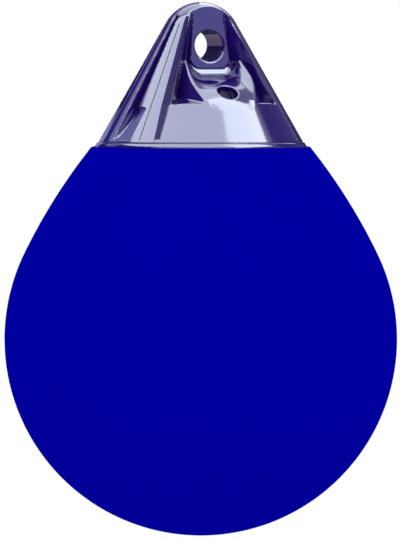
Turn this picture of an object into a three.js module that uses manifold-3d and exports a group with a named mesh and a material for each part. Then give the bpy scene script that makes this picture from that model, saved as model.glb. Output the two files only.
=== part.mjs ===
// A round mooring buoy fender: an inflated vinyl bulb with a moulded rope head that carries
// the eye, and an air valve in the head. Millimetres, +Z up. The origin is the centre of the
// eye's bore, the bore runs along Y, and the side with the valve faces -Y.

import * as THREE from "three";
import { mergeVertices } from "three/addons/utils/BufferGeometryUtils.js";
import Module from "manifold-3d";

const wasm = await Module();
wasm.setup();

const DEGREE = Math.PI / 180;

// Bulb
const bulbRadius = 140;
const bulbBottom = -349; // lowest point of the bulb
const shoulderStart = 26; // degrees above the equator where the ball passes into the shoulder
const bulbLip = 2.4; // how far the bulb's lip stands out past the head's skirt
const lipRise = 0.8; // how far the lip climbs the skirt
const bulbSides = 72;

// Rope head: a ribbed cone under a domed top
const headTop = 31.2;
const skirtBottom = -72.4;
const domeRadius = 28.5;
const coneHalfAngle = 29.5;
const rimHeight = 4.2; // bead round the skirt's lower edge
const rimProud = 0.8;
const headSides = 96;

// Socket in the head's underside, which the bulb's neck fills
const skirtWall = 5.2;
const socketTop = -55;
const socketTopRadius = 47;
const bondGap = 0.35; // clearance that stands for the bonded joint

// Eye and the raised strap round it
const eyeRadius = 10.9;
const eyeChamfer = 1;
const eyeSides = 48;
const strapFace = 15.7; // strap's face to the middle plane, at the eye's centre
const strapLean = 7; // degrees by which each face leans in towards the top
const strapTopHalf = 11.5;
const strapTopZ = 24;
const strapFootHalf = 15.2;
const strapFootZ = -15.7;
const strapCorner = 7;

// Bay on each face of the head, between the strap and the front pair of ribs
const webTop = 12.3; // half thickness of the web behind the bay
const webMiddle = 10.3;
const webFoot = 13.5;
const bayTopZ = 25.2;
const bayMiddleZ = -8;
const bayFootZ = -41;
const valleyTop = 12.3; // half width of the bay's back wall
const valleyMiddle = 17.5;
const valleyFoot = 27.5;
const innerRib = 44.8; // degrees round from the strap to the thin inner rib

// Groove between the thin inner rib and the rib beside it: its two edges and its floor in
// degrees round from the strap, and its depth
const grooveLine = [
  { z: -66.5, from: 47, floor: 49.2, to: 50.8, depth: 3.2 },
  { z: -50, from: 45.9, floor: 49.4, to: 51.9, depth: 5 },
  { z: 0, from: 45.4, floor: 49.8, to: 52.4, depth: 4.4 },
  { z: 21, from: 45.4, floor: 50, to: 52.4, depth: 2 },
];

// Slot on each side of the side rib
const slotLine = [
  { z: -64.7, from: 81.3, to: 81.7, depth: 6 },
  { z: -44, from: 72.3, to: 83, depth: 11 },
  { z: 21.5, from: 70.5, to: 79.5, depth: 5 },
];

// Ramp from the rib's face down into the slot's lower end
const rampLine = [
  { z: -66.5, from: 67.9, to: 83, depth: 1.5 },
  { z: -43.8, from: 63.7, to: 83, depth: 4.5 },
];

// Saddle under the eye: a rounded trough between two fins. Each point is a distance out from
// the head's axis, a distance to the side and a height.
const troughLine = [
  { out: 15, z: -13.5 },
  { out: 19.6, z: -20 },
  { out: 24, z: -22 },
  { out: 32, z: -24 },
  { out: 40, z: -27.3 },
  { out: 48.3, z: -32 },
  { out: 55.3, z: -38.8 },
];
const troughRoundFrom = 17; // the floor is straight across up to this distance out
const troughRoundTo = 47; // and fully round about the head's axis from this one
const troughFootZ = -46.5; // where the floor runs out into the cone
const troughMouth = 19; // half width of the trough's mouth in the cone
const saddleFlat = 8; // half width of the trough's level middle
const saddleBaseZ = -60;
const finApex = { out: 20.5, side: 20.3, z: -9.4 };
const finMiddle = { out: 37.5, side: 22.1, z: -23.8 };
const finFoot = { out: 52.8, side: 18, z: -38.2 };
const finBackSlope = 1.1; // fall of the fin's ridge behind its apex
const finBackTurn = 0.12; // how far the ridge turns in behind its apex
const finSweep = 2.4; // how late the trough's wall sweeps up to the ridge
const finEdge = 1.6; // width of the fin's level top
const finWallShare = 0.8; // the fin's outer wall is steep for this share of its height
const finWallLean = 0.3; // sideways run of its steep part for each millimetre of fall
const finWallDrop = 1; // its foot meets the rib this far below the bay's foot
const pointsApart = 0.1; // keeps the wall's points from meeting where the fin has no height

// Air valve, square to the trough's floor
const valveOut = 48.3; // valve's distance from the head's axis at the floor
const valvePocketRadius = 7.3;
const valvePocketDepth = 9.5;
const seatFlangeThickness = 2.2;
const seatTubeRadius = 5.2;
const seatTubeLength = 13;
const seatBoreRadius = 3.3;
const washerThickness = 1.4;
const washerInner = 3.6;
const washerOuter = 5.2;
const plugHeadRadius = 5.6;
const plugHeadThickness = 2.6;
const plugSlotWidth = 4.4;
const plugSlotDepth = 1.3;
const plugShankRadius = 2.9;
const plugShankLength = 12;
const valveClearance = 0.4;
const valveFaceGap = 0.3;
const valveSides = 40;

const REACH = 120; // cutters run this far, clear of the head
const OVERRUN = 5; // joined pieces run this far into each other or past the outer form

// Solids from three.js geometry, and back again
function solidOf(geometry) {
  const bare = geometry.index ? geometry.toNonIndexed() : geometry.clone();
  bare.deleteAttribute("normal");
  bare.deleteAttribute("uv");
  const merged = mergeVertices(bare, 1e-4);
  return new wasm.Manifold(
    new wasm.Mesh({
      numProp: 3,
      vertProperties: merged.attributes.position.array,
      triVerts: new Uint32Array(merged.index.array),
    }),
  );
}

function meshOf(name, solid, colour, roughness) {
  const mesh = solid.getMesh();
  const geometry = new THREE.BufferGeometry();
  geometry.setAttribute("position", new THREE.BufferAttribute(mesh.vertProperties, 3));
  geometry.setIndex(new THREE.BufferAttribute(mesh.triVerts, 1));
  geometry.computeVertexNormals();
  const material = new THREE.MeshStandardMaterial({ color: colour, roughness, metalness: 0 });
  const made = new THREE.Mesh(geometry, material);
  made.name = name;
  return made;
}

// A solid of revolution about Z from [radius, z] points, listed from the bottom up
function turned(profile, sides) {
  const points = profile.map(([radius, z]) => new THREE.Vector2(radius, z));
  const geometry = new THREE.LatheGeometry(points, sides);
  return solidOf(geometry.rotateX(90 * DEGREE));
}

// A solid through convex outlines of [x, y, z] points, listed from the lowest up
function lofted(outlines) {
  const count = outlines[0].length;
  const triangles = [];
  for (let k = 0; k + 1 < outlines.length; k += 1) {
    for (let i = 0; i < count; i += 1) {
      const next = (i + 1) % count;
      const a = outlines[k][i];
      const b = outlines[k][next];
      const c = outlines[k + 1][next];
      const d = outlines[k + 1][i];
      triangles.push([a, b, c], [a, c, d]);
    }
  }
  const first = outlines[0];
  const last = outlines[outlines.length - 1];
  for (let i = 1; i + 1 < count; i += 1) {
    triangles.push([first[0], first[i + 1], first[i]], [last[0], last[i], last[i + 1]]);
  }
  return facetedSolid(triangles);
}

function facetedSolid(triangles) {
  const geometry = new THREE.BufferGeometry();
  geometry.setAttribute("position", new THREE.Float32BufferAttribute(triangles.flat(2), 3));
  const solid = solidOf(geometry);
  if (solid.volume() > 0) return solid;
  const turnedRound = triangles.map(([a, b, c]) => [a, c, b]);
  geometry.setAttribute("position", new THREE.Float32BufferAttribute(turnedRound.flat(2), 3));
  return solidOf(geometry);
}

// The ground under a grid of [x, y, z] points, listed row by row, closed by a level base
function terrain(rows, base) {
  const triangles = [];
  const wall = (p, q, r, s) => triangles.push([p, q, r], [p, r, s]);
  const below = ([x, y]) => [x, y, base];
  const lastRow = rows.length - 1;
  const lastColumn = rows[0].length - 1;
  for (let i = 0; i < lastRow; i += 1) {
    for (let j = 0; j < lastColumn; j += 1) {
      const corners = [rows[i][j], rows[i + 1][j], rows[i + 1][j + 1], rows[i][j + 1]];
      wall(...corners);
      wall(...corners.map(below).reverse());
    }
  }
  const side = (p, q) => wall(below(p), below(q), q, p);
  for (let i = 0; i < lastRow; i += 1) {
    side(rows[i][0], rows[i + 1][0]);
    side(rows[i + 1][lastColumn], rows[i][lastColumn]);
  }
  for (let j = 0; j < lastColumn; j += 1) {
    side(rows[0][j + 1], rows[0][j]);
    side(rows[lastRow][j], rows[lastRow][j + 1]);
  }
  return facetedSolid(triangles);
}

function steps(from, to, count) {
  return Array.from({ length: count + 1 }, (_, i) => from + ((to - from) * i) / count);
}

function mix(a, b, share) {
  return a + (b - a) * share;
}

// The four copies of a cutter on the head's two faces and two sides
function mirroredFour(solid) {
  const pair = solid.add(solid.mirror([1, 0, 0]));
  return pair.add(pair.mirror([0, 1, 0]));
}

// Outer form of the head
const domeCentre = headTop - domeRadius;
const tangentZ = domeCentre + domeRadius * Math.sin(coneHalfAngle * DEGREE);
const tangentRadius = domeRadius * Math.cos(coneHalfAngle * DEGREE);
const coneSlope = Math.tan(coneHalfAngle * DEGREE);

function coneRadius(z) {
  return tangentRadius + (tangentZ - z) * coneSlope;
}

function onCone(degrees, z, inwards = 0) {
  const radius = coneRadius(z) - inwards;
  return [radius * Math.sin(degrees * DEGREE), -radius * Math.cos(degrees * DEGREE)];
}

function headForm() {
  const rimTop = skirtBottom + rimHeight;
  const profile = [
    [0, skirtBottom],
    [coneRadius(skirtBottom) + rimProud, skirtBottom],
    [coneRadius(rimTop) + rimProud, rimTop - rimProud],
    [coneRadius(rimTop), rimTop],
  ];
  for (const z of steps(rimTop, tangentZ, 6).slice(1)) profile.push([coneRadius(z), z]);
  for (const angle of steps(coneHalfAngle, 90, 8).slice(1)) {
    const radius = domeRadius * Math.cos(angle * DEGREE);
    profile.push([Math.max(radius, 0), domeCentre + domeRadius * Math.sin(angle * DEGREE)]);
  }
  profile[profile.length - 1][0] = 0;
  return turned(profile, headSides);
}

// Socket, wider at the skirt, that takes the bulb's neck
function socketRadiusAtFoot() {
  return coneRadius(skirtBottom) - skirtWall;
}

function socket() {
  const foot = skirtBottom - 1;
  const slope = (socketRadiusAtFoot() - socketTopRadius) / (socketTop - skirtBottom);
  return turned(
    [
      [0, foot],
      [socketRadiusAtFoot() + slope, foot],
      [socketTopRadius, socketTop],
      [0, socketTop],
    ],
    headSides,
  );
}

// One bay's outline at a height: level back wall, then slanted walls out to the rib edges
function bayOutline(z, web, valley) {
  const [ribX, ribY] = onCone(innerRib, z);
  const beyond = 3; // the slanted walls run on to three times their length, past the cone
  const outX = valley + (ribX - valley) * beyond;
  const outY = -web + (ribY + web) * beyond;
  return [
    [-valley, -web, z],
    [valley, -web, z],
    [outX, outY, z],
    [outX, -REACH, z],
    [-outX, -REACH, z],
    [-outX, outY, z],
  ];
}

function bay() {
  const top = bayTopZ + 2 * OVERRUN;
  const rise = (top - bayMiddleZ) / (bayTopZ - bayMiddleZ);
  return lofted([
    bayOutline(bayFootZ, webFoot, valleyFoot),
    bayOutline(bayMiddleZ, webMiddle, valleyMiddle),
    topOutline(top, mix(webMiddle, webTop, rise), mix(valleyMiddle, valleyTop, rise)),
  ]);
}

// Above the dome the ribs have run out, so the bay's walls simply keep their slant
function topOutline(z, web, valley) {
  const out = REACH / 2;
  return [
    [-valley, -web, z],
    [valley, -web, z],
    [valley + out, -web - out, z],
    [valley + out, -REACH, z],
    [-valley - out, -REACH, z],
    [-valley - out, -web - out, z],
  ];
}

// Narrow groove that runs down beside the rib
function groove() {
  return lofted(
    grooveLine.map(({ z, from, floor, to, depth }) => [
      [...onCone(from, z, -OVERRUN), z],
      [...onCone(from, z), z],
      [...onCone(floor, z, depth), z],
      [...onCone(to, z), z],
      [...onCone(to, z, -OVERRUN), z],
    ]),
  );
}

function ramp() {
  return lofted(
    rampLine.map(({ z, from, to, depth }) => [
      [...onCone(from, z), z],
      [...onCone(to, z, depth), z],
      [...onCone(to, z, -OVERRUN), z],
      [...onCone(from, z, -OVERRUN), z],
    ]),
  );
}

// Mouth of the saddle's trough in the cone, which the trough's own floor then fills again
function troughMouthCut() {
  const outline = (z) => [
    [-troughMouth, -REACH, z],
    [troughMouth, -REACH, z],
    [troughMouth, -webFoot - OVERRUN, z],
    [-troughMouth, -webFoot - OVERRUN, z],
  ];
  return lofted([outline(troughFootZ), outline(bayFootZ + OVERRUN)]);
}

// Long pointed slot beside the side rib
function slot() {
  return lofted(
    slotLine.map(({ z, from, to, depth }) => {
      const [nearX, nearY] = onCone(from, z);
      const [farX, farY] = onCone(to, z);
      const floor = onCone((from + to) / 2, z, depth)[0];
      return [
        [floor, nearY, z],
        [floor, farY, z],
        [farX + REACH / 2, farY, z],
        [nearX + REACH / 2, nearY, z],
      ];
    }),
  );
}

// Height of the trough's floor at a distance out from the head's axis
const coneBelow = [troughFootZ, troughFootZ - OVERRUN].map((z) => ({ out: coneRadius(z), z }));
const troughCurve = new THREE.SplineCurve(
  [...troughLine, ...coneBelow].map((p) => new THREE.Vector2(p.out, p.z)),
);
const troughPoints = troughCurve.getPoints(35);

function troughFloor(out) {
  const past = troughPoints.findIndex((point) => point.x > out);
  const next = past < 0 ? troughPoints.length - 1 : Math.max(past, 1);
  const [a, b] = [troughPoints[next - 1], troughPoints[next]];
  return mix(a.y, b.y, (out - a.x) / (b.x - a.x));
}

function saddleFloor(x, out) {
  const share = (out - troughRoundFrom) / (troughRoundTo - troughRoundFrom);
  return troughFloor(Math.hypot(x * Math.min(Math.max(share, 0), 1), out));
}

const finCurve = new THREE.CatmullRomCurve3(
  [finApex, finMiddle, finFoot].map((p) => new THREE.Vector3(p.out, p.side, p.z)),
);

// The fin's ridge at a distance out from the middle plane: how far to the side, and how high
function finRidge(out) {
  if (out <= finApex.out) {
    const behind = finApex.out - out;
    return { side: finApex.side - behind * finBackTurn, z: finApex.z - behind * finBackSlope };
  }
  if (out >= finFoot.out) {
    const radius = Math.hypot(finFoot.side, out);
    return { side: finFoot.side, z: tangentZ - (radius - tangentRadius) / coneSlope };
  }
  const share = (out - finApex.out) / (finFoot.out - finApex.out);
  const point = finCurve.getPoint(share);
  return { side: point.y, z: point.z };
}

// Where the fin's outer wall meets the rib: the bay's side wall at its foot
function finWallFoot(out) {
  const [ribX, ribY] = onCone(innerRib, bayFootZ);
  const share = Math.max(out - webFoot, 0) / (-ribY - webFoot);
  return mix(valleyFoot, ribX, share);
}

// One line of the saddle across the head, at a distance out from the middle plane
function saddleRow(out) {
  const ridge = finRidge(out);
  const lift = ridge.z - saddleFloor(ridge.side, out);
  const line = [];
  for (const x of [...steps(0, saddleFlat, 2), ...steps(saddleFlat, ridge.side, 9).slice(1)]) {
    const share = Math.max(x - saddleFlat, 0) / (ridge.side - saddleFlat);
    line.push([x, saddleFloor(x, out) + lift * share ** finSweep]);
  }
  const foot = Math.min(bayFootZ, ridge.z);
  const fall = (ridge.z - foot) * finWallShare + pointsApart;
  line.push([ridge.side + finEdge, ridge.z]);
  line.push([ridge.side + finEdge + fall * finWallLean + pointsApart, ridge.z - fall]);
  line.push([finWallFoot(out) + finWallDrop, foot - finWallDrop]);
  const half = line.map(([x, z]) => [x, -out, Math.max(z, saddleBaseZ + 1)]);
  const other = half.slice(1).map(([x, y, z]) => [-x, y, z]);
  return [...other.reverse(), ...half];
}

function saddle() {
  const far = coneRadius(saddleBaseZ) + OVERRUN;
  const inside = webMiddle - OVERRUN;
  const outs = [...steps(inside, finApex.out, 5), ...steps(finApex.out, far, 18).slice(1)];
  return terrain(outs.map(saddleRow), saddleBaseZ);
}

// Strap: a tapered band with a rounded foot, its faces leaning in towards the top
function strap() {
  const sideSlope = (strapFootHalf - strapTopHalf) / (strapTopZ - strapFootZ);
  const top = headTop + OVERRUN;
  const topHalf = strapTopHalf - (top - strapTopZ) * sideSlope;
  const shape = new THREE.Shape();
  shape.moveTo(topHalf, top);
  shape.lineTo(-topHalf, top);
  shape.lineTo(-strapFootHalf, strapFootZ + strapCorner);
  shape.quadraticCurveTo(-strapFootHalf, strapFootZ, strapCorner - strapFootHalf, strapFootZ);
  shape.lineTo(strapFootHalf - strapCorner, strapFootZ);
  shape.quadraticCurveTo(strapFootHalf, strapFootZ, strapFootHalf, strapFootZ + strapCorner);
  const depth = strapFace * 4;
  const band = new THREE.ExtrudeGeometry(shape, { depth, bevelEnabled: false, curveSegments: 8 });
  band.translate(0, 0, -depth / 2).rotateX(90 * DEGREE);
  return solidOf(band).intersect(strapFaces());
}

function strapFaces() {
  const lean = Math.tan(strapLean * DEGREE);
  const outline = (z) => {
    const face = strapFace - z * lean;
    return [
      [-REACH, -face, z],
      [REACH, -face, z],
      [REACH, face, z],
      [-REACH, face, z],
    ];
  };
  return lofted([outline(strapFootZ - OVERRUN), outline(headTop + 2 * OVERRUN)]);
}

// Bore of the eye, with a chamfer at each mouth that follows the leaning face
function eye() {
  const bore = new THREE.CylinderGeometry(eyeRadius, eyeRadius, REACH, eyeSides);
  const flare = eyeChamfer + REACH / 4;
  const mouth = new THREE.CylinderGeometry(eyeRadius + flare, eyeRadius, flare, eyeSides);
  mouth.translate(0, strapFace - eyeChamfer + flare / 2, 0);
  const near = mouth.clone().rotateX((180 - strapLean) * DEGREE);
  const far = mouth.clone().rotateX(strapLean * DEGREE);
  return solidOf(bore).add(solidOf(near)).add(solidOf(far));
}

// Air valve, made along its own axis with its outer face at z = 0, then set in the saddle
function placeValve(solid) {
  const fall = troughFloor(valveOut - 1) - troughFloor(valveOut + 1);
  const tilt = new THREE.Matrix4().makeRotationX(Math.atan2(fall, 2));
  tilt.setPosition(0, -valveOut, troughFloor(valveOut));
  return solid.transform(tilt.elements);
}

function disc(radius, bottom, top) {
  return turned(
    [
      [0, bottom],
      [radius, bottom],
      [radius, top],
      [0, top],
    ],
    valveSides,
  );
}

const pocketFloor = -valvePocketDepth;
const flangeFloor = pocketFloor + valveFaceGap;
const flangeTop = flangeFloor + seatFlangeThickness;
const washerFloor = flangeTop + valveFaceGap;
const washerTop = washerFloor + washerThickness;
const plugFloor = washerTop + valveFaceGap;
const plugTop = plugFloor + plugHeadThickness;

function valvePocket() {
  const tubeHole = disc(seatTubeRadius + valveClearance, pocketFloor - REACH / 2, pocketFloor + 1);
  return placeValve(disc(valvePocketRadius, pocketFloor, 2 * OVERRUN).add(tubeHole));
}

function valveSeat() {
  const flange = disc(valvePocketRadius - valveClearance, flangeFloor, flangeTop);
  const tube = disc(seatTubeRadius, flangeFloor - seatTubeLength, flangeFloor + 0.5);
  const bore = disc(seatBoreRadius, flangeFloor - seatTubeLength - 1, flangeTop + 1);
  return placeValve(flange.add(tube).subtract(bore));
}

function valveWasher() {
  const ring = disc(washerOuter, washerFloor, washerTop);
  return placeValve(ring.subtract(disc(washerInner, washerFloor - 1, washerTop + 1)));
}

function valvePlug() {
  const head = disc(plugHeadRadius, plugFloor, plugTop);
  const shank = disc(plugShankRadius, plugFloor - plugShankLength, plugFloor + 0.5);
  const driver = new THREE.BoxGeometry(plugSlotWidth, plugHeadRadius * 3, plugSlotDepth * 2);
  driver.translate(0, 0, plugTop);
  return placeValve(head.add(shank).subtract(solidOf(driver)));
}

function ropeHead() {
  const form = headForm();
  const frontBay = bay().add(troughMouthCut());
  const frontSaddle = saddle();
  const bays = frontBay.add(frontBay.mirror([0, 1, 0]));
  const saddles = frontSaddle.add(frontSaddle.mirror([0, 1, 0]));
  const core = form.subtract(bays).add(form.intersect(saddles)).add(form.intersect(strap()));
  return core
    .subtract(mirroredFour(groove()))
    .subtract(mirroredFour(slot()))
    .subtract(mirroredFour(ramp()))
    .subtract(eye())
    .subtract(valvePocket())
    .subtract(socket());
}

// Bulb: ball below, a long shoulder arc above, and a neck bonded inside the head's skirt
function bulb() {
  const centre = bulbBottom + bulbRadius;
  const startZ = centre + bulbRadius * Math.sin(shoulderStart * DEGREE);
  const startRadius = bulbRadius * Math.cos(shoulderStart * DEGREE);
  const skirtRadius = coneRadius(skirtBottom) + rimProud;
  const lipRadius = skirtRadius + bulbLip;
  const profile = [[0, bulbBottom]];
  for (const angle of steps(-90, shoulderStart, 26).slice(1)) {
    const radius = bulbRadius * Math.cos(angle * DEGREE);
    profile.push([radius, centre + bulbRadius * Math.sin(angle * DEGREE)]);
  }
  const chordR = lipRadius - startRadius;
  const chordZ = skirtBottom - startZ;
  const along = Math.hypot(chordR, chordZ);
  const slope = Math.atan2(-chordR, chordZ);
  const turn = 2 * (slope - shoulderStart * DEGREE);
  const shoulderRadius = along / (2 * Math.sin(turn / 2));
  for (const angle of steps(shoulderStart * DEGREE, shoulderStart * DEGREE + turn, 8).slice(1)) {
    const radius =
      startRadius + shoulderRadius * (Math.cos(angle) - Math.cos(shoulderStart * DEGREE));
    const z = startZ + shoulderRadius * (Math.sin(angle) - Math.sin(shoulderStart * DEGREE));
    profile.push([radius, z]);
  }
  const neckFoot = socketRadiusAtFoot() - bondGap;
  profile.push([skirtRadius + bulbLip * 0.55, skirtBottom + lipRise]);
  profile.push([skirtRadius + bondGap, skirtBottom + lipRise * 0.6]);
  profile.push([skirtRadius + bondGap, skirtBottom - bondGap]);
  profile.push([neckFoot, skirtBottom - bondGap]);
  profile.push([socketTopRadius - bondGap * 2, socketTop - bondGap]);
  profile.push([0, socketTop - bondGap]);
  return turned(profile, bulbSides);
}

const fender = new THREE.Group();
fender.name = "round_fender";
fender.add(meshOf("bulb", bulb(), 0x0000a2, 0.45));
fender.add(meshOf("rope_head", ropeHead(), 0x14106a, 0.15));
fender.add(meshOf("valve_seat", valveSeat(), 0x0c0a30, 0.35));
fender.add(meshOf("valve_washer", valveWasher(), 0x101014, 0.7));
fender.add(meshOf("valve_plug", valvePlug(), 0x0a0a12, 0.3));

export default fender;
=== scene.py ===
# The looks of a round mooring buoy fender: an inflated vinyl bulb, a glossy moulded rope head with
# its eye, fins and ribs, and the air valve set in the head's saddle.

import math

import bpy
import numpy as np
from mathutils import Matrix, Vector


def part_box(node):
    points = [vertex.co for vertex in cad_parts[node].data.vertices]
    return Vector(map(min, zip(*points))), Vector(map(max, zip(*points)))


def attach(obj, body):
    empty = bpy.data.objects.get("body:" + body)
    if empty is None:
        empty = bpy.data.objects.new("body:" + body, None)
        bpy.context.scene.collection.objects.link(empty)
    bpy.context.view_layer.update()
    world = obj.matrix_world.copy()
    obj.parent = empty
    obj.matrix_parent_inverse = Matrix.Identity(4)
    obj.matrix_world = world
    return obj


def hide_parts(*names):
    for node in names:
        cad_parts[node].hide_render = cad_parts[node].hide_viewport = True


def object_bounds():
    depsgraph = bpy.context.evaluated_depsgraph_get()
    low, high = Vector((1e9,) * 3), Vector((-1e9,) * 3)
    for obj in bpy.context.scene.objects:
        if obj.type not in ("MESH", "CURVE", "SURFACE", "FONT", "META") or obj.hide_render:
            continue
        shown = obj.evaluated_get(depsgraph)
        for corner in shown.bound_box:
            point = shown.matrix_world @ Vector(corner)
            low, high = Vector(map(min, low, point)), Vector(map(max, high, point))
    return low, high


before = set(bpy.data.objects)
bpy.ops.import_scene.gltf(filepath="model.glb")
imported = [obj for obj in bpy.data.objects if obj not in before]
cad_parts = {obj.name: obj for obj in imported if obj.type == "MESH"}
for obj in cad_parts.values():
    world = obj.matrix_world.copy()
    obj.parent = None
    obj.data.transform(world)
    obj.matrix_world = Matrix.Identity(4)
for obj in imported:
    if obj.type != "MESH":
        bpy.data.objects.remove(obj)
cad_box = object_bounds()

MM = 0.001

# Sizes below are millimetres and degrees, from the eye's centre, with the valve side facing -Y
bulb_low, bulb_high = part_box("bulb")
head_low, head_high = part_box("rope_head")
BULB_RADIUS = bulb_high.x / MM
BULB_BOTTOM = bulb_low.z / MM
BULB_NECK_TOP = bulb_high.z / MM
BULB_START = -89
BULB_RINGS = 80
SHOULDER_START = 26
SHOULDER_RINGS = 30
BULB_SIDES = 256

# The soft lip round the rim: how far it stands out, and its crest as (share of that, height)
BULB_LIP = 2.4
BULB_LIP_CREST = [(0.8, 0.5), (0.5, 0.75)]
BULB_LIP_INSIDE = 0.5

HEAD_TOP = head_high.z / MM
SKIRT_BOTTOM = head_low.z / MM
RIM_RADIUS = head_high.x / MM
RIM_PROUD = 0.8
DOME_RADIUS = 28.5
DOME_END = 89.5
DOME_RINGS = 30
CONE_HALF_ANGLE = 29.5
CONE_RINGS = 40
SKIRT_WALL = 5.2
SOCKET_TOP = -55
SOCKET_TOP_RADIUS = 47
SOCKET_FOOT_RADIUS = RIM_RADIUS - RIM_PROUD - SKIRT_WALL
BOND_GAP = 0.35
HEAD_SIDES = 256

# The band round the rim, with each rounded edge as (distance from that edge, how far drawn in)
RIM_BAND = 4.2
RIM_FOOT_EDGE = [(0, 0.8), (0.15, 0.25), (0.5, 0)]
RIM_TOP_EDGE = [(0.9, 0), (0.6, 0.12), (0.4, 0.45)]
RIM_GROOVE = 0.35
RIM_INSIDE_STEP = 0.5
RIM_LAP = 2.5
RIM_LAP_DEPTH = 0.7

EYE_RADIUS = 10.9
EYE_ROUNDING = 1.5
EYE_ROUNDING_STEPS = 6
EYE_SIDES = 96
STRAP_FACE = 15.7
STRAP_LEAN = 7
STRAP_TOP_HALF = 11.5
STRAP_TOP_Z = 24
STRAP_FOOT_HALF = 15.2
STRAP_FOOT_Z = -15.7
STRAP_CORNER = 7
STRAP_CORNER_STEPS = 10

WEB_TOP = 12.3
WEB_MIDDLE = 10.3
WEB_FOOT = 13.5
BAY_TOP_Z = 25.2
BAY_MIDDLE_Z = -8
BAY_FOOT_Z = -41
VALLEY_TOP = 12.3
VALLEY_MIDDLE = 17.5
VALLEY_FOOT = 27.5
INNER_RIB = 44.8

# The groove: height, first edge, floor and second edge in degrees from the strap, and depth
GROOVE_LINE = [
    (-66.5, 47, 49.2, 50.8, 3.2),
    (-42, 45.6, 49.5, 52, 4.9),
    (-40, 44.5, 49.5, 52, 4.9),
    (0, 44.4, 49.8, 52.4, 4.4),
    (21, 44.3, 50, 52.4, 2),
]

# The slot and the ramp into its lower end: height, two edges in degrees and depth
SLOT_LINE = [(-64.7, 80.6, 82.6, 3), (-44, 72.3, 83, 11), (21.5, 70.5, 79.5, 5)]
RAMP_LINE = [(-66.5, 67.9, 83, 1.5), (-43.8, 63.7, 83, 4.5)]

TROUGH = [(15, -13.5), (19.6, -20), (24, -22), (32, -24), (40, -27.3), (48.3, -32), (55.3, -38.8)]
TROUGH_STEPS = 20
TROUGH_ROUND = [17, 47]
TROUGH_FOOT_Z = -46.5
TROUGH_MOUTH = 19
SADDLE_FLAT = 8
SADDLE_BASE_Z = -60
SADDLE_LEAST = 1
SADDLE_ACROSS = 60
SADDLE_ALONG = 70
FIN_RIDGE = [(20.5, 20.3, -9.4), (37.5, 22.1, -23.8), (52.8, 18, -38.2)]
RIDGE_STEPS = 30
FIN_BACK_SLOPE = 1.1
FIN_BACK_TURN = 0.12
FIN_SWEEP = 2.4
FIN_EDGE = 1.9
FIN_WALL_SHARE = 0.8
FIN_WALL_LEAN = 0.3
FIN_WALL_DROP = 1
FIN_WALL_ROWS = 4
POINTS_APART = 0.1

PARTING_AT = 60.5
PARTING_WIDTH = 0.7
PARTING_DEPTH = 0.8
PARTING_TOP_Z = 16
PARTING_FOOT_Z = -66

# How far the shapes that are cut or joined run past the head, and how often the bay's wall is drawn out
REACH = 120
PAST_CONE = 5
ABOVE_BAY = 10
PAST_EYE = 8
BELOW_SOCKET = 3
PAST_PARTING = 2
WALL_TIMES = 3

# The moulding's skin: its grain, and how close to the true cone and dome it is drawn onto them
VOXEL = 0.6
SMOOTH_FACTOR = 0.5
SMOOTH_PASSES = 6
MOST_FACES = 190000
TRUE_WITHIN = 0.06
TRUE_FADE = 0.12
TINY = 1e-6

# Points of a mesh closer than this, in metres, are one point
MERGE_WITHIN = 1e-7

# Edges sharper than this many degrees stay crisp
BULB_CREASE = 40
HEAD_CREASE = 38
VALVE_CREASE = 35

CONE_SLOPE = math.tan(math.radians(CONE_HALF_ANGLE))
DOME_CENTRE = HEAD_TOP - DOME_RADIUS
TANGENT_Z = DOME_CENTRE + DOME_RADIUS * math.sin(math.radians(CONE_HALF_ANGLE))
TANGENT_RADIUS = DOME_RADIUS * math.cos(math.radians(CONE_HALF_ANGLE))


def cone_radius(z):
    """Radius of the head's cone at a height."""
    return TANGENT_RADIUS + (TANGENT_Z - z) * CONE_SLOPE


def on_cone(degrees, z, inwards=0):
    """The point (x, y) on the cone, or inside it, at an angle from the valve side."""
    radius = cone_radius(z) - inwards
    angle = math.radians(degrees)
    return radius * math.sin(angle), -radius * math.cos(angle)


def steps(start, end, count):
    return [start + (end - start) * i / count for i in range(count + 1)]


def mix(a, b, share):
    return a + (b - a) * share


# Modelling by hand: primitives, edit-mode operators and modifiers


def deselect():
    bpy.ops.object.select_all(action="DESELECT")


def activate(piece):
    deselect()
    piece.select_set(True)
    bpy.context.view_layer.objects.active = piece


def edit(piece):
    activate(piece)
    bpy.ops.object.mode_set(mode="EDIT")


def leave_edit():
    bpy.ops.object.mode_set(mode="OBJECT")


def outward(piece):
    """Merges doubled points and turns every face outwards."""
    edit(piece)
    bpy.ops.mesh.select_all(action="SELECT")
    bpy.ops.mesh.remove_doubles(threshold=MERGE_WITHIN)
    bpy.ops.mesh.normals_make_consistent(inside=False)
    leave_edit()
    return piece


def apply_modifier(piece, kind, **settings):
    activate(piece)
    modifier = piece.modifiers.new(kind.lower(), kind)
    for key, value in settings.items():
        setattr(modifier, key, value)
    bpy.ops.object.modifier_apply(modifier=modifier.name)
    return piece


def combine(piece, tool, operation, keep=False):
    apply_modifier(piece, "BOOLEAN", object=tool, operation=operation, solver="MANIFOLD")
    if not keep:
        bpy.data.objects.remove(tool)
    return piece


def smooth(piece, crease):
    activate(piece)
    bpy.ops.object.shade_smooth_by_angle(angle=math.radians(crease))
    return piece


def cut(piece, tool):
    return combine(piece, tool, "DIFFERENCE")


def join(piece, tool):
    return combine(piece, tool, "UNION")


def copied(piece, name):
    other = piece.copy()
    other.data = piece.data.copy()
    other.name = name
    bpy.context.scene.collection.objects.link(other)
    return other


def mirrored(piece, axis):
    """A mirrored copy of a piece: from side to side on axis 0, from front to back on axis 1."""
    other = copied(piece, piece.name + "_mirror")
    scale = [1, 1, 1]
    scale[axis] = -1
    other.data.transform(Matrix.Diagonal((*scale, 1)))
    return outward(other)


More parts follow.
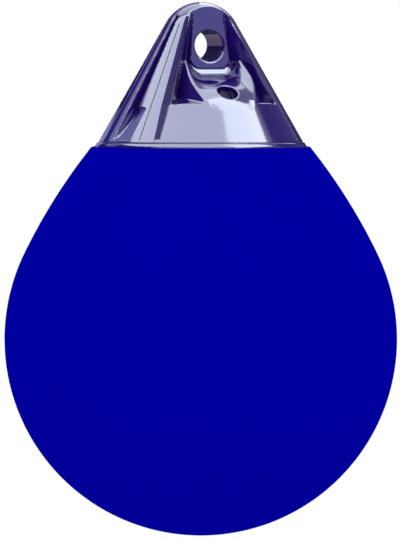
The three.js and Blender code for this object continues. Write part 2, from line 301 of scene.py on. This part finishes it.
def turned(name, profile, sides):
    """A solid of revolution about Z through (radius, height) points, drawn upwards ring by ring."""
    radius, height = profile[0]
    deselect()
    bpy.ops.mesh.primitive_circle_add(vertices=sides, radius=radius * MM, fill_type="NGON")
    piece = bpy.context.object
    piece.name = name
    piece.data.transform(Matrix.Translation((0, 0, height * MM)))
    edit(piece)
    bpy.ops.mesh.select_all(action="SELECT")
    for (r0, z0), (r1, z1) in zip(profile, profile[1:]):
        bpy.ops.mesh.extrude_region_move(TRANSFORM_OT_translate={"value": (0, 0, (z1 - z0) * MM)})
        if r1 != r0:
            size = (r1 / r0, r1 / r0, 1)
            bpy.ops.transform.resize(value=size, center_override=(0, 0, z1 * MM))
    leave_edit()
    return outward(piece)


def stacked(name, outlines):
    """A solid through outlines of (x, y, z) points with as many points each, drawn one by one."""
    deselect()
    bpy.ops.mesh.primitive_circle_add(vertices=len(outlines[0]), fill_type="NGON")
    piece = bpy.context.object
    piece.name = name
    order = list(range(len(outlines[0])))
    place(piece, order, outlines[0])
    for outline in outlines[1:]:
        before = [piece.data.vertices[i].co.copy() for i in order]
        edit(piece)
        bpy.ops.mesh.extrude_region_move()
        leave_edit()
        raised = [v.index for v in piece.data.vertices if v.select]
        order = [nearest(piece, raised, point) for point in before]
        place(piece, order, outline)
    return outward(piece)


def place(piece, order, outline):
    for index, point in zip(order, outline):
        piece.data.vertices[index].co = Vector(point) * MM


def nearest(piece, indices, point):
    return min(indices, key=lambda i: (piece.data.vertices[i].co - point).length)


# Rope head


def head_form():
    """The dome and the cone, from the rim band up."""
    low = SKIRT_BOTTOM + RIM_BAND
    profile = [(cone_radius(z), z) for z in steps(low, TANGENT_Z, CONE_RINGS)]
    for angle in steps(CONE_HALF_ANGLE, DOME_END, DOME_RINGS)[1:]:
        across = DOME_RADIUS * math.cos(math.radians(angle))
        profile.append((across, DOME_CENTRE + DOME_RADIUS * math.sin(math.radians(angle))))
    return turned("rope_head_moulding", profile, HEAD_SIDES)


def bay_outline(z, web, valley):
    """The bay's section at one height: its web, its valleys and its walls up to the inner ribs."""
    rib_x, rib_y = on_cone(INNER_RIB, z)
    out_x = valley + (rib_x - valley) * WALL_TIMES
    out_y = -web + (rib_y + web) * WALL_TIMES
    corners = [(-valley, -web), (valley, -web), (out_x, out_y)]
    corners += [(out_x, -REACH), (-out_x, -REACH), (-out_x, out_y)]
    return [(x, y, z) for x, y in corners]


def bay():
    """The hollow on the front face, between the strap and the front pair of ribs."""
    top = BAY_TOP_Z + ABOVE_BAY
    rise = (top - BAY_MIDDLE_Z) / (BAY_TOP_Z - BAY_MIDDLE_Z)
    web_up = mix(WEB_MIDDLE, WEB_TOP, rise)
    valley_up = mix(VALLEY_MIDDLE, VALLEY_TOP, rise)
    out = REACH / 2
    corners = [(-valley_up, -web_up), (valley_up, -web_up), (valley_up + out, -web_up - out)]
    corners += [(valley_up + out, -REACH), (-valley_up - out, -REACH)]
    corners += [(-valley_up - out, -web_up - out)]
    return stacked(
        "bay",
        [
            bay_outline(BAY_FOOT_Z, WEB_FOOT, VALLEY_FOOT),
            bay_outline(BAY_MIDDLE_Z, WEB_MIDDLE, VALLEY_MIDDLE),
            [(x, y, top) for x, y in corners],
        ],
    )


def on_cone_outline(z, corners):
    """An outline at one height from (angle, depth under the cone) corners."""
    return [(*on_cone(degrees, z, depth), z) for degrees, depth in corners]


def groove():
    """The narrow groove between the thin inner rib and the rib beside it."""
    outlines = []
    for z, start, floor, end, depth in GROOVE_LINE:
        corners = [(start, -PAST_CONE), (start, 0), (floor, depth), (end, 0), (end, -PAST_CONE)]
        outlines.append(on_cone_outline(z, corners))
    return stacked("groove", outlines)


def ramp():
    """The ramp from the rib's face into the slot's lower end."""
    outlines = []
    for z, start, end, depth in RAMP_LINE:
        corners = [(start, 0), (end, depth), (end, -PAST_CONE), (start, -PAST_CONE)]
        outlines.append(on_cone_outline(z, corners))
    return stacked("ramp", outlines)


def trough_mouth():
    """The trough's mouth in the cone, which the trough's own floor then fills again."""
    back = -WEB_FOOT - PAST_CONE
    outlines = []
    for z in (TROUGH_FOOT_Z, BAY_FOOT_Z + PAST_CONE):
        corners = [(-TROUGH_MOUTH, -REACH), (TROUGH_MOUTH, -REACH)]
        corners += [(TROUGH_MOUTH, back), (-TROUGH_MOUTH, back)]
        outlines.append([(x, y, z) for x, y in corners])
    return stacked("trough_mouth", outlines)


def slot():
    """The long pointed slot beside the side rib."""
    outlines = []
    for z, start, end, depth in SLOT_LINE:
        near_x, near_y = on_cone(start, z)
        far_x, far_y = on_cone(end, z)
        floor = on_cone((start + end) / 2, z, depth)[0]
        corners = [(floor, near_y), (floor, far_y)]
        corners += [(far_x + REACH / 2, far_y), (near_x + REACH / 2, near_y)]
        outlines.append([(x, y, z) for x, y in corners])
    return stacked("slot", outlines)


def curve_through(points, count):
    """Points along a smooth curve through a few chosen ones."""
    points = [np.array(p, float) for p in points]
    ends = [2 * points[0] - points[1]] + points + [2 * points[-1] - points[-2]]
    line = []
    for a, b, c, d in zip(ends, ends[1:], ends[2:], ends[3:]):
        for t in steps(0, 1, count)[:-1]:
            tangent_b, tangent_c = (c - a) / 2, (d - b) / 2
            line.append(
                (2 * t**3 - 3 * t**2 + 1) * b
                + (t**3 - 2 * t**2 + t) * tangent_b
                + (3 * t**2 - 2 * t**3) * c
                + (t**3 - t**2) * tangent_c
            )
    return np.array(line + [points[-1]])


CONE_LINE = [(cone_radius(z), z) for z in (TROUGH_FOOT_Z, TROUGH_FOOT_Z - PAST_CONE)]
TROUGH_LINE = curve_through(TROUGH + CONE_LINE, TROUGH_STEPS)
RIDGE_LINE = curve_through(FIN_RIDGE, RIDGE_STEPS)


def trough_floor(out):
    """Height of the trough's floor at a distance out from the head's axis."""
    line = TROUGH_LINE
    if out < line[0][0]:
        fall = (line[1][1] - line[0][1]) / (line[1][0] - line[0][0])
        return line[0][1] + (out - line[0][0]) * fall
    if out > line[-1][0]:
        fall = (line[-1][1] - line[-2][1]) / (line[-1][0] - line[-2][0])
        return line[-1][1] + (out - line[-1][0]) * fall
    return float(np.interp(out, line[:, 0], line[:, 1]))


def saddle_floor(x, out):
    """The trough's floor: straight across beside the strap, and round the head's axis at its mouth."""
    start, end = TROUGH_ROUND
    roundness = min(max((out - start) / (end - start), 0), 1)
    return trough_floor(math.hypot(x * roundness, out))


def fin_ridge(out):
    """Where the fin's ridge is at a distance out from the middle plane: to the side, and how high."""
    apex, foot = FIN_RIDGE[0], FIN_RIDGE[-1]
    if out <= apex[0]:
        behind = apex[0] - out
        return apex[1] - behind * FIN_BACK_TURN, apex[2] - behind * FIN_BACK_SLOPE
    if out >= foot[0]:
        radius = math.hypot(foot[1], out)
        return foot[1], TANGENT_Z - (radius - TANGENT_RADIUS) / CONE_SLOPE
    side = float(np.interp(out, RIDGE_LINE[:, 0], RIDGE_LINE[:, 1]))
    return side, float(np.interp(out, RIDGE_LINE[:, 0], RIDGE_LINE[:, 2]))


def fin_wall_foot(out):
    """Where the fin's outer wall meets the rib: the bay's side wall at its foot."""
    rib_x, rib_y = on_cone(INNER_RIB, BAY_FOOT_Z)
    return mix(VALLEY_FOOT, rib_x, max(out - WEB_FOOT, 0) / (-rib_y - WEB_FOOT))


def fin_wall(out, side, top):
    """The fin's level edge, its steep outer wall and the wall's slanted foot, as (side, height)."""
    foot = min(BAY_FOOT_Z, top)
    fall = (top - foot) * FIN_WALL_SHARE + POINTS_APART
    edge = (side + FIN_EDGE, top)
    knee = (edge[0] + fall * FIN_WALL_LEAN + POINTS_APART, top - fall)
    middle = ((edge[0] + knee[0]) / 2, (edge[1] + knee[1]) / 2)
    return [edge, middle, knee, (fin_wall_foot(out) + FIN_WALL_DROP, foot - FIN_WALL_DROP)]


def saddle():
    """The rounded trough under the eye with a fin on each side: a grid shaped, then closed below."""
    inner, outer = WEB_MIDDLE - PAST_CONE, cone_radius(SADDLE_BASE_Z) + PAST_CONE
    half = SADDLE_ACROSS / 2
    deselect()
    bpy.ops.mesh.primitive_grid_add(
        x_subdivisions=SADDLE_ACROSS, y_subdivisions=SADDLE_ALONG, size=2
    )
    piece = bpy.context.object
    piece.name = "saddle"
    edge_share = (half - FIN_WALL_ROWS) / half
    for vertex in piece.data.vertices:
        share, out = abs(vertex.co.x), mix(inner, outer, (1 - vertex.co.y) / 2)
        side, top = fin_ridge(out)
        lift = top - saddle_floor(side, out)
        if share <= edge_share + TINY:
            x = side * share / edge_share
            sweep = max(x - SADDLE_FLAT, 0) / (side - SADDLE_FLAT)
            z = saddle_floor(x, out) + lift * sweep**FIN_SWEEP
        else:
            past = round((share - edge_share) * half)
            x, z = fin_wall(out, side, top)[past - 1]
        sign = 1 if vertex.co.x >= 0 else -1
        vertex.co = Vector((sign * x, -out, max(z, SADDLE_BASE_Z + SADDLE_LEAST))) * MM
    edit(piece)
    bpy.ops.mesh.select_all(action="SELECT")
    bpy.ops.mesh.extrude_region_move(TRANSFORM_OT_translate={"value": (0, 0, -MM)})
    bpy.ops.transform.resize(value=(1, 1, 0), center_override=(0, 0, SADDLE_BASE_Z * MM))
    leave_edit()
    return outward(piece)


def strap():
    """The raised band over the top round the eye, its faces leaning in towards the top."""
    side_slope = (STRAP_FOOT_HALF - STRAP_TOP_HALF) / (STRAP_TOP_Z - STRAP_FOOT_Z)
    top = HEAD_TOP + PAST_CONE
    top_half = STRAP_TOP_HALF - (top - STRAP_TOP_Z) * side_slope
    half = [(top_half, top)]
    for angle in steps(0, 90, STRAP_CORNER_STEPS):
        turn = math.radians(angle)
        x = STRAP_FOOT_HALF - STRAP_CORNER * (1 - math.cos(turn))
        half.append((x, STRAP_FOOT_Z + STRAP_CORNER * (1 - math.sin(turn))))
    outline = half + [(-x, z) for x, z in reversed(half)]
    lean = math.tan(math.radians(STRAP_LEAN))
    faces = []
    for way in (-1, 1):
        faces.append([(x, way * (STRAP_FACE - z * lean), z) for x, z in outline])
    return stacked("strap", faces)


def eye_bore():
    """The bore with a rounded mouth on each face, as a tool along Y."""
    flare = EYE_RADIUS + EYE_ROUNDING
    profile = [(flare + PAST_EYE, -STRAP_FACE - PAST_EYE)]
    for angle in steps(0, 90, EYE_ROUNDING_STEPS):
        turn = math.radians(angle)
        across = EYE_RADIUS + EYE_ROUNDING * (1 - math.sin(turn))
        profile.append((across, -STRAP_FACE + EYE_ROUNDING * (1 - math.cos(turn))))
    profile += [(radius, -height) for radius, height in reversed(profile)]
    tool = turned("eye_bore", profile, EYE_SIDES)
    tool.data.transform(Matrix.Rotation(math.radians(90), 4, "X"))
    lean = math.tan(math.radians(STRAP_LEAN))
    for vertex in tool.data.vertices:
        vertex.co.y += vertex.co.z * lean * (1 if vertex.co.y < 0 else -1)
    return outward(tool)


# Air valve, made along its own axis with the saddle's floor at height 0, then set in the saddle
VALVE_OUT = 48.3
VALVE_SIDES = 96
VALVE_POCKET_RADIUS = 7.3
VALVE_POCKET_DEPTH = 9.5
VALVE_POCKET_ABOVE = 12
VALVE_POCKET_SIDES = 64
VALVE_HOLE_RADIUS = 5.6
VALVE_HOLE_DEPTH = 40
FLANGE_THICKNESS = 2.2
FLANGE_CHAMFER = 0.4
TUBE_RADIUS = 5.2
TUBE_LENGTH = 13
BORE_RADIUS = 3.3
WASHER_THICKNESS = 1.4
WASHER_INNER = 3.6
WASHER_CHAMFER = 0.3
PLUG_RADIUS = 5.6
PLUG_THICKNESS = 2.6
PLUG_EDGE = [(0, 0.7), (0.25, 0.2), (0.8, 0)]
SHANK_RADIUS = 2.9
SHANK_LENGTH = 12
SHANK_CHAMFER = 0.6
PLUG_SLOT_WIDTH = 4.4
PLUG_SLOT_DEPTH = 1.3
CLEARANCE = 0.4
FACE_GAP = 0.3
FLANGE_FLOOR = FACE_GAP - VALVE_POCKET_DEPTH
FLANGE_TOP = FLANGE_FLOOR + FLANGE_THICKNESS
WASHER_FLOOR = FLANGE_TOP + FACE_GAP
PLUG_FLOOR = WASHER_FLOOR + WASHER_THICKNESS + FACE_GAP
PLUG_TOP = PLUG_FLOOR + PLUG_THICKNESS


def valve_place():
    """Where the valve sits: square to the trough's floor."""
    fall = trough_floor(VALVE_OUT - 1) - trough_floor(VALVE_OUT + 1)
    spot = Matrix.Translation(Vector((0, -VALVE_OUT, trough_floor(VALVE_OUT))) * MM)
    return spot @ Matrix.Rotation(math.atan2(fall, 2), 4, "X")


def valve_pocket():
    """The pocket for the valve, with the hole for its tube below it."""
    profile = [(VALVE_HOLE_RADIUS, -VALVE_HOLE_DEPTH), (VALVE_HOLE_RADIUS, -VALVE_POCKET_DEPTH)]
    profile += [(VALVE_POCKET_RADIUS, -VALVE_POCKET_DEPTH)]
    profile += [(VALVE_POCKET_RADIUS, VALVE_POCKET_ABOVE)]
    tool = turned("valve_pocket", profile, VALVE_POCKET_SIDES)
    tool.data.transform(valve_place())
    return tool


def ring(name, inner, profile):
    """A turned piece with a bore through it."""
    piece = turned(name, profile, VALVE_SIDES)
    low, high = profile[0][1] - 1, profile[-1][1] + 1
    return cut(piece, turned(name + "_bore", [(inner, low), (inner, high)], VALVE_SIDES))


def valve_seat():
    """The flanged tube that is bonded into the head."""
    rim, chamfer = VALVE_POCKET_RADIUS - CLEARANCE, FLANGE_CHAMFER
    profile = [(TUBE_RADIUS, FLANGE_FLOOR - TUBE_LENGTH), (TUBE_RADIUS, FLANGE_FLOOR)]
    profile += [(rim, FLANGE_FLOOR), (rim, FLANGE_TOP - chamfer), (rim - chamfer, FLANGE_TOP)]
    return ring("valve_seat_shape", BORE_RADIUS, profile)


def valve_washer():
    """The sealing ring between the flange and the plug."""
    low, high = WASHER_FLOOR, WASHER_FLOOR + WASHER_THICKNESS
    outer, chamfer = TUBE_RADIUS, WASHER_CHAMFER
    profile = [(outer - chamfer, low), (outer, low + chamfer)]
    profile += [(outer, high - chamfer), (outer - chamfer, high)]
    return ring("valve_washer_shape", WASHER_INNER, profile)


def valve_plug():
    """The plug on its shank, with a wide slot across its face."""
    shank, foot = SHANK_RADIUS, PLUG_FLOOR - SHANK_LENGTH
    profile = [(shank - SHANK_CHAMFER, foot), (shank, foot + SHANK_CHAMFER)]
    profile += [(shank, PLUG_FLOOR), (PLUG_RADIUS, PLUG_FLOOR)]
    profile += [(PLUG_RADIUS - step_in, PLUG_TOP - down) for step_in, down in PLUG_EDGE]
    piece = turned("valve_plug_shape", profile, VALVE_SIDES)
    deselect()
    bpy.ops.mesh.primitive_cube_add(size=MM)
    slot_tool = bpy.context.object
    size = (PLUG_SLOT_WIDTH, PLUG_RADIUS * 3, PLUG_SLOT_DEPTH * 2, 1)
    slot_tool.data.transform(Matrix.Diagonal(size))
    slot_tool.data.transform(Matrix.Translation((0, 0, PLUG_TOP * MM)))
    return cut(piece, slot_tool)


def remeshed(piece):
    """Fuses the moulding into one skin and rounds its edges as a mould does."""
    apply_modifier(piece, "REMESH", mode="VOXEL", voxel_size=VOXEL * MM, adaptivity=0)
    apply_modifier(piece, "SMOOTH", factor=SMOOTH_FACTOR, iterations=SMOOTH_PASSES)
    triangles = 2 * len(piece.data.polygons)
    if triangles > MOST_FACES:
        apply_modifier(piece, "DECIMATE", ratio=MOST_FACES / triangles)
    return piece


def trued(piece):
    """Draws the outer skin onto the true cone and dome, where it already lies close to them."""
    mesh = piece.data
    points = np.empty(len(mesh.vertices) * 3)
    mesh.vertices.foreach_get("co", points)
    points = points.reshape(-1, 3) / MM
    across = np.hypot(points[:, 0], points[:, 1])
    tilt = math.radians(CONE_HALF_ANGLE)
    along = points[:, 2] - DOME_CENTRE
    on_dome = np.arctan2(along, np.maximum(across, TINY)) > tilt
    reach = np.hypot(across, along)
    from_dome = reach - DOME_RADIUS
    from_cone = across * math.cos(tilt) + along * math.sin(tilt) - DOME_RADIUS
    gap = np.where(on_dome, from_dome, from_cone)
    near = 1 - np.clip((np.abs(gap) - TRUE_WITHIN) / TRUE_FADE, 0, 1)
    step = gap * near
    dome_norm = np.stack([points[:, 0], points[:, 1], along], 1) / np.maximum(reach, TINY)[:, None]
    cone_x = points[:, 0] / np.maximum(across, TINY) * math.cos(tilt)
    cone_y = points[:, 1] / np.maximum(across, TINY) * math.cos(tilt)
    cone_norm = np.stack([cone_x, cone_y, np.full(len(points), math.sin(tilt))], 1)
    norm = np.where(on_dome[:, None], dome_norm, cone_norm)
    points -= norm * step[:, None]
    mesh.vertices.foreach_set("co", (points * MM).ravel())
    mesh.update()


def rim_band():
    """The raised band round the skirt's lower edge, with a fine groove above it."""
    low, high = SKIRT_BOTTOM, SKIRT_BOTTOM + RIM_BAND
    inner = SOCKET_FOOT_RADIUS + RIM_INSIDE_STEP

    def edge(z, step_in):
        return cone_radius(z) + RIM_PROUD - step_in

    groove_floor = edge(high, RIM_PROUD + RIM_GROOVE)
    profile = [(inner, low)]
    profile += [(edge(low + up, step_in), low + up) for up, step_in in RIM_FOOT_EDGE]
    profile += [(edge(high - down, step_in), high - down) for down, step_in in RIM_TOP_EDGE]
    profile += [(groove_floor, high - RIM_GROOVE), (groove_floor, high)]
    profile += [(cone_radius(high + RIM_LAP) - RIM_LAP_DEPTH, high + RIM_LAP)]
    profile += [(inner, high + RIM_LAP)]
    return turned("rim_band", profile, HEAD_SIDES)


def socket():
    """The hollow in the underside that the bulb's neck fills."""
    slope = (SOCKET_FOOT_RADIUS - SOCKET_TOP_RADIUS) / (SOCKET_TOP - SKIRT_BOTTOM)
    foot_radius = SOCKET_FOOT_RADIUS + BELOW_SOCKET * slope
    profile = [(foot_radius, SKIRT_BOTTOM - BELOW_SOCKET), (SOCKET_TOP_RADIUS, SOCKET_TOP)]
    return turned("socket", profile, HEAD_SIDES)


def parting_blade():
    """A thin blade down a rib, which leaves the mould's parting line."""
    turn = math.radians(PARTING_AT)
    along = Vector((math.sin(turn), -math.cos(turn), 0))
    side = Vector((math.cos(turn), math.sin(turn), 0)) * PARTING_WIDTH / 2
    outlines = []
    for z in (PARTING_FOOT_Z, PARTING_TOP_Z):
        middle = along * cone_radius(z)
        inner, outer = middle - along * PARTING_DEPTH, middle + along * PAST_PARTING
        corners = [inner - side, outer - side, outer + side, inner + side]
        outlines.append([(corner.x, corner.y, z) for corner in corners])
    return stacked("parting_blade", outlines)


def four_times(tool):
    """The tool and its mirror images on the head's two faces and two sides."""
    pair = mirrored(tool, 0)
    return [mirrored(tool, 1), mirrored(pair, 1), pair, tool]


def rope_head():
    """The moulding: bays cut from the form, saddles and strap joined, then slots, eye and grooves."""
    form = head_form()
    moulding = copied(form, "rope_head_skin")
    front_bay = join(bay(), trough_mouth())
    for tool in (mirrored(front_bay, 1), front_bay):
        cut(moulding, tool)
    saddle_piece = combine(saddle(), form, "INTERSECT", keep=True)
    other = mirrored(saddle_piece, 1)
    join(moulding, saddle_piece)
    join(moulding, other)
    band = combine(strap(), form, "INTERSECT", keep=True)
    join(moulding, band)
    for cutter in (slot(), ramp()):
        for tool in four_times(cutter):
            cut(moulding, tool)
    cut(moulding, eye_bore())
    cut(moulding, valve_pocket())
    bpy.data.objects.remove(form)
    remeshed(moulding)
    trued(moulding)
    for cutter in (groove(), parting_blade()):
        for tool in four_times(cutter):
            cut(moulding, tool)
    join(moulding, rim_band())
    cut(moulding, socket())
    return smooth(moulding, HEAD_CREASE)


# Bulb


def bulb():
    """The round body, its shoulder drawn in to a soft lip round the rim, and the neck in the head."""
    centre = BULB_BOTTOM + BULB_RADIUS
    profile = []
    for angle in steps(BULB_START, SHOULDER_START, BULB_RINGS):
        turn = math.radians(angle)
        profile.append((BULB_RADIUS * math.cos(turn), centre + BULB_RADIUS * math.sin(turn)))
    start_radius, start_z = profile[-1]
    lip_radius = RIM_RADIUS + BULB_LIP
    chord_r, chord_z = lip_radius - start_radius, SKIRT_BOTTOM - start_z
    slope = math.atan2(-chord_r, chord_z)
    first = math.radians(SHOULDER_START)
    turn = 2 * (slope - first)
    bend = math.hypot(chord_r, chord_z) / (2 * math.sin(turn / 2))
    for angle in steps(first, first + turn, SHOULDER_RINGS)[1:]:
        radius = start_radius + bend * (math.cos(angle) - math.cos(first))
        profile.append((radius, start_z + bend * (math.sin(angle) - math.sin(first))))
    for share, height in BULB_LIP_CREST:
        profile.append((RIM_RADIUS + BULB_LIP * share, SKIRT_BOTTOM + height))
    profile.append((RIM_RADIUS + BOND_GAP, SKIRT_BOTTOM + BULB_LIP_INSIDE))
    profile.append((RIM_RADIUS + BOND_GAP, SKIRT_BOTTOM - BOND_GAP))
    profile.append((SOCKET_FOOT_RADIUS - BOND_GAP, SKIRT_BOTTOM - BOND_GAP))
    profile.append((SOCKET_TOP_RADIUS - BOND_GAP * 2, BULB_NECK_TOP))
    return smooth(turned("bulb_skin", profile, BULB_SIDES), BULB_CREASE)


# Materials


def colour(red, green, blue):
    """Linear colour from screen values of 0 to 255."""

    def linear(value):
        share = value / 255
        return share / 12.92 if share <= 0.04045 else ((share + 0.055) / 1.055) ** 2.4

    return (linear(red), linear(green), linear(blue), 1)


SKIN_FINENESS = 40
SKIN_RELIEF = 0.0002


def vinyl(name, dark, light, roughness, specular, ior, grain, bump):
    """Moulded plastic: a little cloudy in colour and gloss, with a fine skin texture."""
    material = bpy.data.materials.new(name)
    material.use_nodes = True
    nodes, links = material.node_tree.nodes, material.node_tree.links
    shader = nodes["Principled BSDF"]
    place_on = nodes.new("ShaderNodeTexCoord")
    cloud = nodes.new("ShaderNodeTexNoise")
    cloud.inputs["Scale"].default_value = grain
    cloud.inputs["Detail"].default_value = 4
    skin = nodes.new("ShaderNodeTexNoise")
    skin.inputs["Scale"].default_value = grain * SKIN_FINENESS
    skin.inputs["Detail"].default_value = 2
    shade = nodes.new("ShaderNodeMix")
    shade.data_type = "RGBA"
    shade.inputs["A"].default_value = dark
    shade.inputs["B"].default_value = light
    gloss = nodes.new("ShaderNodeMapRange")
    gloss.inputs["To Min"].default_value = roughness[0]
    gloss.inputs["To Max"].default_value = roughness[1]
    relief = nodes.new("ShaderNodeBump")
    relief.inputs["Strength"].default_value = bump
    relief.inputs["Distance"].default_value = SKIN_RELIEF
    for noise in (cloud, skin):
        links.new(place_on.outputs["Object"], noise.inputs["Vector"])
    links.new(cloud.outputs["Fac"], shade.inputs["Factor"])
    links.new(cloud.outputs["Fac"], gloss.inputs["Value"])
    links.new(shade.outputs["Result"], shader.inputs["Base Color"])
    links.new(gloss.outputs["Result"], shader.inputs["Roughness"])
    links.new(skin.outputs["Fac"], relief.inputs["Height"])
    links.new(relief.outputs["Normal"], shader.inputs["Normal"])
    shader.inputs["Specular IOR Level"].default_value = specular
    shader.inputs["IOR"].default_value = ior
    return material


def wear(piece, material, node):
    """Gives a piece its material, hangs it on the root body and hides the CAD part it stands for."""
    piece.data.materials.clear()
    piece.data.materials.append(material)
    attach(piece, "root")
    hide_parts(node)


bulb_vinyl = vinyl(
    "bulb_vinyl",
    dark=colour(0, 0, 160),
    light=colour(0, 0, 164),
    roughness=(0.6, 0.7),
    specular=0.0,
    ior=1.45,
    grain=9,
    bump=0.05,
)
head_vinyl = vinyl(
    "head_vinyl",
    dark=colour(30, 8, 98),
    light=colour(42, 14, 112),
    roughness=(0.08, 0.14),
    specular=0.5,
    ior=1.65,
    grain=14,
    bump=0.03,
)
valve_plastic = vinyl(
    "valve_plastic",
    dark=colour(28, 20, 62),
    light=colour(36, 27, 72),
    roughness=(0.25, 0.35),
    specular=0.03,
    ior=1.5,
    grain=60,
    bump=0.05,
)

VALVE_SLOTS = {
    "valve_seat": "valve_plastic",
    "valve_washer": "washer_rubber",
    "valve_plug": "plug_plastic",
}

wear(bulb(), bulb_vinyl, "bulb")
wear(rope_head(), head_vinyl, "rope_head")
for node, shape in zip(VALVE_SLOTS, (valve_seat, valve_washer, valve_plug)):
    piece = shape()
    piece.data.transform(valve_place())
    smooth(piece, VALVE_CREASE)
    wear(piece, valve_plastic, node)


# Studio, in metres: a white room, a pale floor below the hanging fender, and cards for the gloss
CAMERA_AZIMUTH = -23.5
CAMERA_HEIGHT = 0.0
CAMERA_DISTANCE = 4.0
CAMERA_SHIFT = -0.0006
CAMERA_DROP = 0.0004
FRAME_HEIGHT = 0.3843
SENSOR = 36

FLOOR_SIZE = 12
FLOOR_BELOW = 0.25
FLOOR_GREY = (0.8, 0.8, 0.8, 1)
FLOOR_ROUGHNESS = 0.9

# A near card hides the far ones behind it, so a dark flag takes their gloss away
CARD_DISTANCE = 2.4
OVERHEAD_DISTANCE = 2.5
FLAG_DISTANCE = 0.9
CARD_TINT = (0.9, 0.98, 1.06, 1)
LAVENDER = (1, 1.15, 2, 1)
VIOLET = (1.1, 0.8, 1.3, 1)


def card(name, azimuths, elevations, strength, distance=CARD_DISTANCE, tint=CARD_TINT):
    """A curved card round the fender, seen only in reflections. Azimuth 0 is behind the camera."""
    deselect()
    bpy.ops.mesh.primitive_uv_sphere_add(segments=144, ring_count=72, radius=distance)
    piece = bpy.context.object
    piece.name = name
    bpy.context.tool_settings.mesh_select_mode = (False, False, True)
    for face in piece.data.polygons:
        x, y, z = face.center
        elevation = math.degrees(math.asin(z / face.center.length))
        azimuth = math.degrees(math.atan2(x, -y)) - CAMERA_AZIMUTH
        azimuth = (azimuth + 180) % 360 - 180
        on_card = azimuths[0] <= azimuth <= azimuths[1] and elevations[0] <= elevation <= elevations[1]
        face.select = not on_card
    edit(piece)
    bpy.ops.mesh.delete(type="FACE")
    leave_edit()
    glow = bpy.data.materials.new(name + "_glow")
    glow.use_nodes = True
    glow.node_tree.nodes.clear()
    out = glow.node_tree.nodes.new("ShaderNodeOutputMaterial")
    emission = glow.node_tree.nodes.new("ShaderNodeEmission")
    emission.inputs["Color"].default_value = tint
    emission.inputs["Strength"].default_value = strength
    glow.node_tree.links.new(emission.outputs[0], out.inputs["Surface"])
    piece.data.materials.append(glow)
    piece.visible_camera = False
    piece.visible_diffuse = False
    piece.visible_shadow = False
    return piece


card("soft_front", (-113, 42), (36, 90), 7.0)
card("soft_right", (42, 96), (30, 75), 12.0)
card("soft_over", (-180, 180), (62, 90), 6.0, OVERHEAD_DISTANCE)
card("soft_behind", (150, 180), (22, 60), 4.0)
card("soft_left", (-150, -113), (14, 36), 0.8, tint=LAVENDER)
card("soft_left_upper", (-180, -150), (26, 38), 0.8, tint=LAVENDER)
card("soft_left_high", (-180, -125), (38, 62), 3.0)
card("soft_left_low", (-180, -150), (0, 16), 0.5, FLAG_DISTANCE, LAVENDER)
card("soft_strap", (20, 62), (-10, 28), 0.95, tint=LAVENDER)
card("dim_left", (-160, -120), (-24, 0), 0.45, FLAG_DISTANCE, VIOLET)
card("dim_low_right", (62, 100), (-15, 28), 0.45, FLAG_DISTANCE, LAVENDER)
card("flag_front_left", (-113, -55), (-15, 32), 0.05, FLAG_DISTANCE)
card("flag_front", (-55, 18), (-15, 14), 0.05, FLAG_DISTANCE)
card("flag_left", (-137, -113), (0, 15), 0.03, FLAG_DISTANCE)
card("flag_left_middle", (-150, -137), (0, 24), 0.03, FLAG_DISTANCE)
card("flag_left_high", (-180, -150), (16, 27), 0.03, FLAG_DISTANCE)
card("flag_right", (100, 150), (-40, 40), 0.15, FLAG_DISTANCE, LAVENDER)
card("flag_behind", (150, 180), (-40, 20), 0.05, FLAG_DISTANCE)
card("flag_behind_left", (-180, -160), (-40, 0), 0.05, FLAG_DISTANCE)


def white_world():
    world = bpy.data.worlds.new("white_room")
    bpy.context.scene.world = world
    world.use_nodes = True
    background = world.node_tree.nodes["Background"]
    background.inputs["Color"].default_value = (1, 1, 1, 1)
    background.inputs["Strength"].default_value = 1


def pale_floor():
    deselect()
    level = BULB_BOTTOM * MM - FLOOR_BELOW
    bpy.ops.mesh.primitive_plane_add(size=FLOOR_SIZE, location=(0, 0, level))
    floor = bpy.context.object
    floor.name = "floor"
    material = bpy.data.materials.new("pale_floor")
    material.use_nodes = True
    nodes, links = material.node_tree.nodes, material.node_tree.links
    shader = nodes["Principled BSDF"]
    shader.inputs["Base Color"].default_value = FLOOR_GREY
    shader.inputs["Roughness"].default_value = FLOOR_ROUGHNESS
    glow = nodes.new("ShaderNodeEmission")
    path = nodes.new("ShaderNodeLightPath")
    blend = nodes.new("ShaderNodeMixShader")
    links.new(path.outputs["Is Camera Ray"], blend.inputs[0])
    links.new(shader.outputs[0], blend.inputs[1])
    links.new(glow.outputs[0], blend.inputs[2])
    links.new(blend.outputs[0], nodes["Material Output"].inputs["Surface"])
    floor.data.materials.append(material)


def camera():
    """A long lens, level with the eye, that frames the whole fender as the photograph does."""
    low, high = cad_box
    middle = Vector((CAMERA_SHIFT, 0, (low[2] + high[2]) / 2 - CAMERA_DROP))
    turn = math.radians(CAMERA_AZIMUTH)
    spot = Vector((math.sin(turn), -math.cos(turn), 0)) * CAMERA_DISTANCE
    spot += Vector((CAMERA_SHIFT, 0, CAMERA_HEIGHT))
    data = bpy.data.cameras.new("camera")
    data.sensor_fit = "VERTICAL"
    data.sensor_height = SENSOR
    data.lens = SENSOR * (spot - middle).length / FRAME_HEIGHT
    seen = bpy.data.objects.new("camera", data)
    seen.location = spot
    seen.rotation_euler = (middle - spot).to_track_quat("-Z", "Y").to_euler()
    bpy.context.scene.collection.objects.link(seen)
    bpy.context.scene.camera = seen


white_world()
pale_floor()
camera()
bpy.context.scene.view_settings.view_transform = "Standard"
